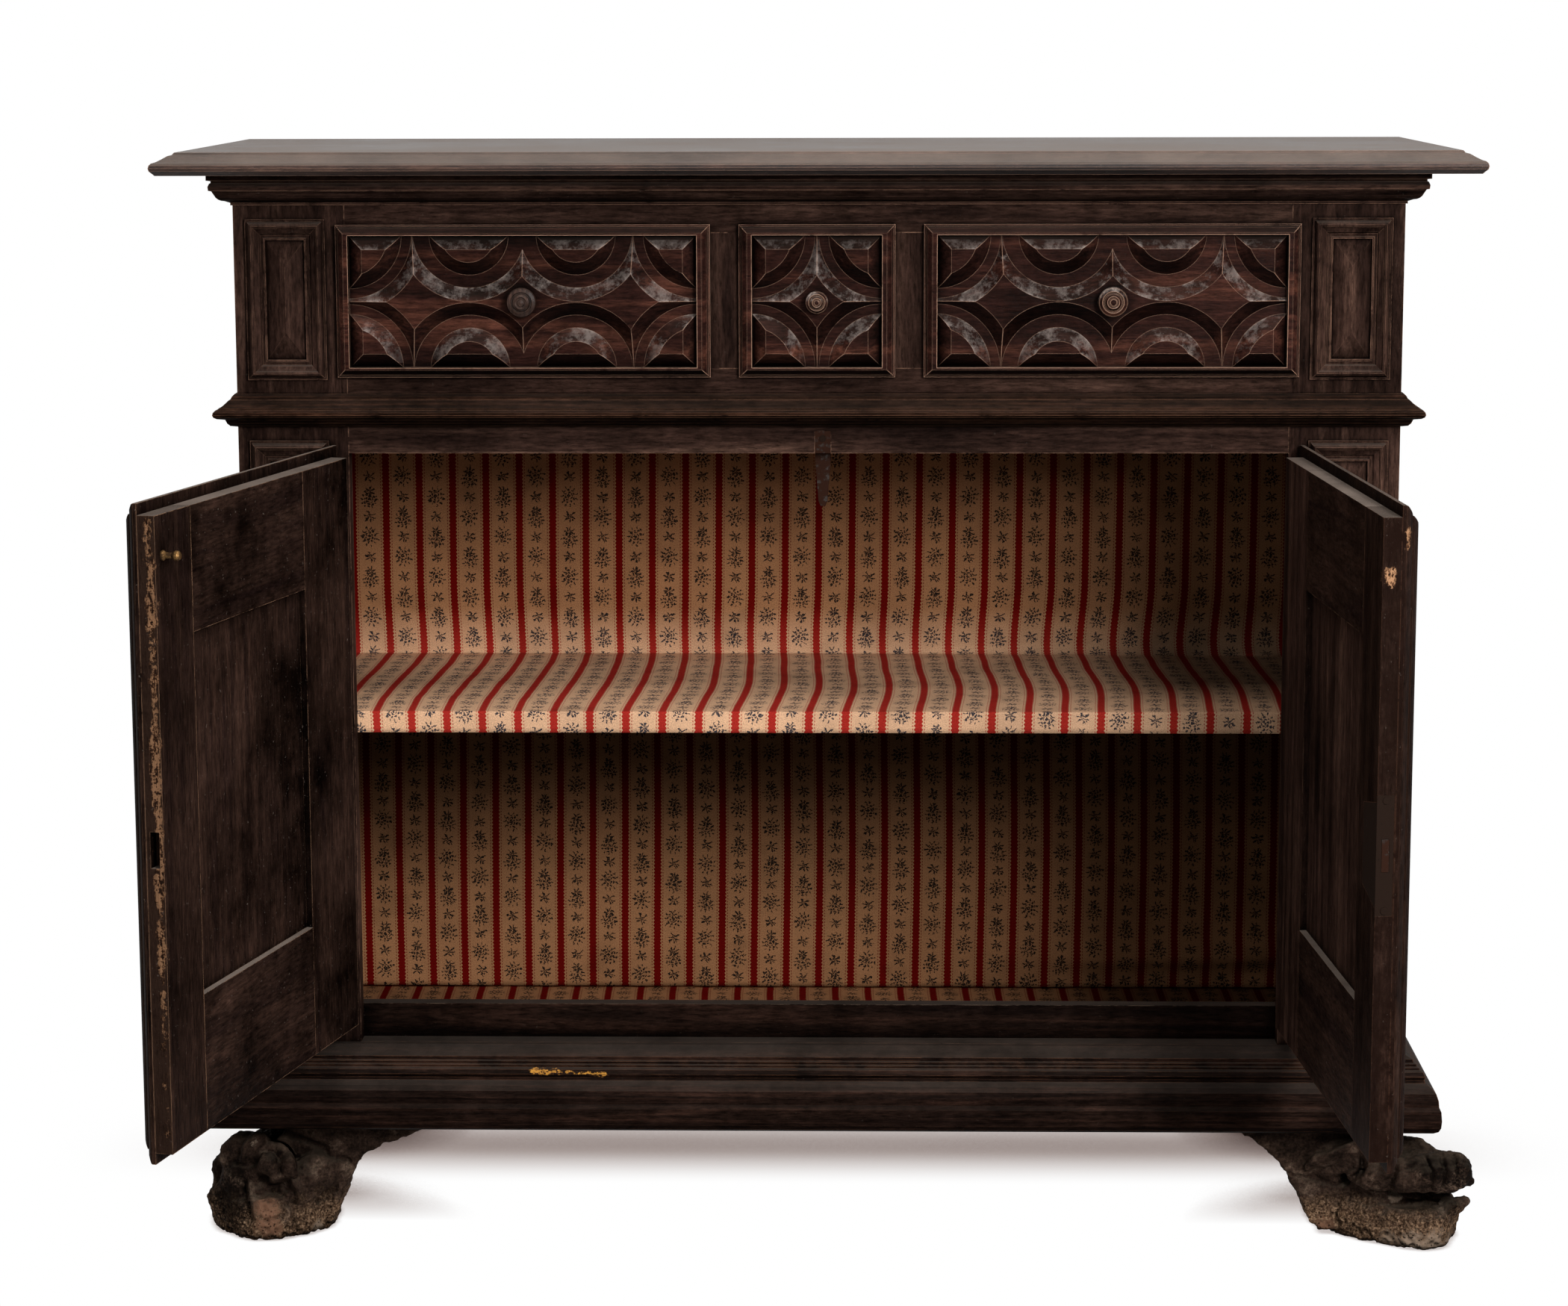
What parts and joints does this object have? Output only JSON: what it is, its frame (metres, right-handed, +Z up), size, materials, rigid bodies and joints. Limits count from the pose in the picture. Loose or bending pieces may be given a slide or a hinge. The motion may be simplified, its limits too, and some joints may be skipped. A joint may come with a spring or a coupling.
{
  "type": "credenza cupboard",
  "caption": "Low walnut cupboard on lion-paw feet with lipped double doors, a row of carved drawers, moulded pilaster frames and cloth-lined shelves; doors stand open.",
  "frame": {"origin": "middle of the bottom of the box round the part, with both doors open as stored", "axes": "+X along the front towards the right door, +Y from the front to the back, +Z up"},
  "size_m": [1.4288, 0.9732, 1.204],
  "materials": {
    "walnut": "satin, dark, worn",
    "worn_walnut": "satin, rubbed",
    "dark_walnut": "matt, dusty",
    "raw_wood": "unfinished",
    "lining_cloth": "printed cotton",
    "iron": "forged, rusty",
    "brass": "tarnished"
  },
  "bodies": {
    "carcass": {"top_board": "walnut", "cornice_moulding": "walnut", "waist_moulding": "worn_walnut", "base_moulding": "dark_walnut", "side_left": "walnut", "side_right": "walnut", "stile_left": "walnut", "stile_right": "walnut", "frieze_top_rail": "walnut", "drawer_rail": "walnut", "muntins": "walnut", "head_rail": "walnut", "bottom_rail": "dark_walnut", "plinth_rail": "dark_walnut", "back_boards": "dark_walnut", "cupboard_floor": "dark_walnut", "dust_board": "dark_walnut", "drawer_guides": "dark_walnut", "drawer_kickers": "dark_walnut", "shelf": "raw_wood", "shelf_cleats": "dark_walnut", "pilaster_frame_ul": "walnut", "pilaster_frame_ur": "walnut", "pilaster_frame_ll": "walnut", "pilaster_frame_lr": "walnut", "pilaster_bosses": "walnut", "paw_left": "dark_walnut", "paw_right": "dark_walnut", "back_feet": "dark_walnut", "upper_lining": "lining_cloth", "lower_lining": "lining_cloth", "door_stop": "iron", "pintles_left": "iron", "pintles_right": "iron", "stop_screw": "iron"},
    "door_left": {"left_hinge_stile": "walnut", "left_meeting_stile": "walnut", "left_door_rails": "walnut", "left_door_panel": "dark_walnut", "left_door_lip": "walnut", "left_hinge_eyes": "iron", "door_peg": "brass"},
    "door_right": {"right_hinge_stile": "walnut", "right_lock_stile": "walnut", "right_door_rails": "walnut", "right_door_panel": "dark_walnut", "right_door_lip": "walnut", "right_hinge_eyes": "iron", "lock_case": "iron", "lock_screws": "iron"},
    "bolt": {"lock_bolt": "iron"},
    "drawer_left": {"left_drawer_front": "walnut", "left_drawer_box": "raw_wood", "left_drawer_knob": "dark_walnut"},
    "drawer_centre": {"centre_drawer_front": "worn_walnut", "centre_drawer_box": "raw_wood", "centre_drawer_knob": "worn_walnut"},
    "drawer_right": {"right_drawer_front": "walnut", "right_drawer_box": "raw_wood", "right_drawer_knob": "worn_walnut"}
  },
  "joints": [
    {"name": "left_door_hinge", "type": "hinge", "parent": "carcass", "child": "door_left", "pos_m": [-0.53488, 0.03827, 0.55], "axis": [0, 0, 1], "range_deg": [-12, 103.3]},
    {"name": "right_door_hinge", "type": "hinge", "parent": "carcass", "child": "door_right", "pos_m": [0.51612, 0.03827, 0.55], "axis": [0, 0, 1], "range_deg": [-94.2, 21]},
    {"name": "lock_bolt_slide", "type": "slide", "parent": "door_right", "child": "bolt", "axis": [0.0732, -0.9973, 0], "range_m": [0, 0.009]},
    {"name": "left_drawer_slide", "type": "slide", "parent": "carcass", "child": "drawer_left", "axis": [0, -1, 0], "range_m": [0, 0.3]},
    {"name": "centre_drawer_slide", "type": "slide", "parent": "carcass", "child": "drawer_centre", "axis": [0, -1, 0], "range_m": [0, 0.3]},
    {"name": "right_drawer_slide", "type": "slide", "parent": "carcass", "child": "drawer_right", "axis": [0, -1, 0], "range_m": [0, 0.3]}
  ]
}
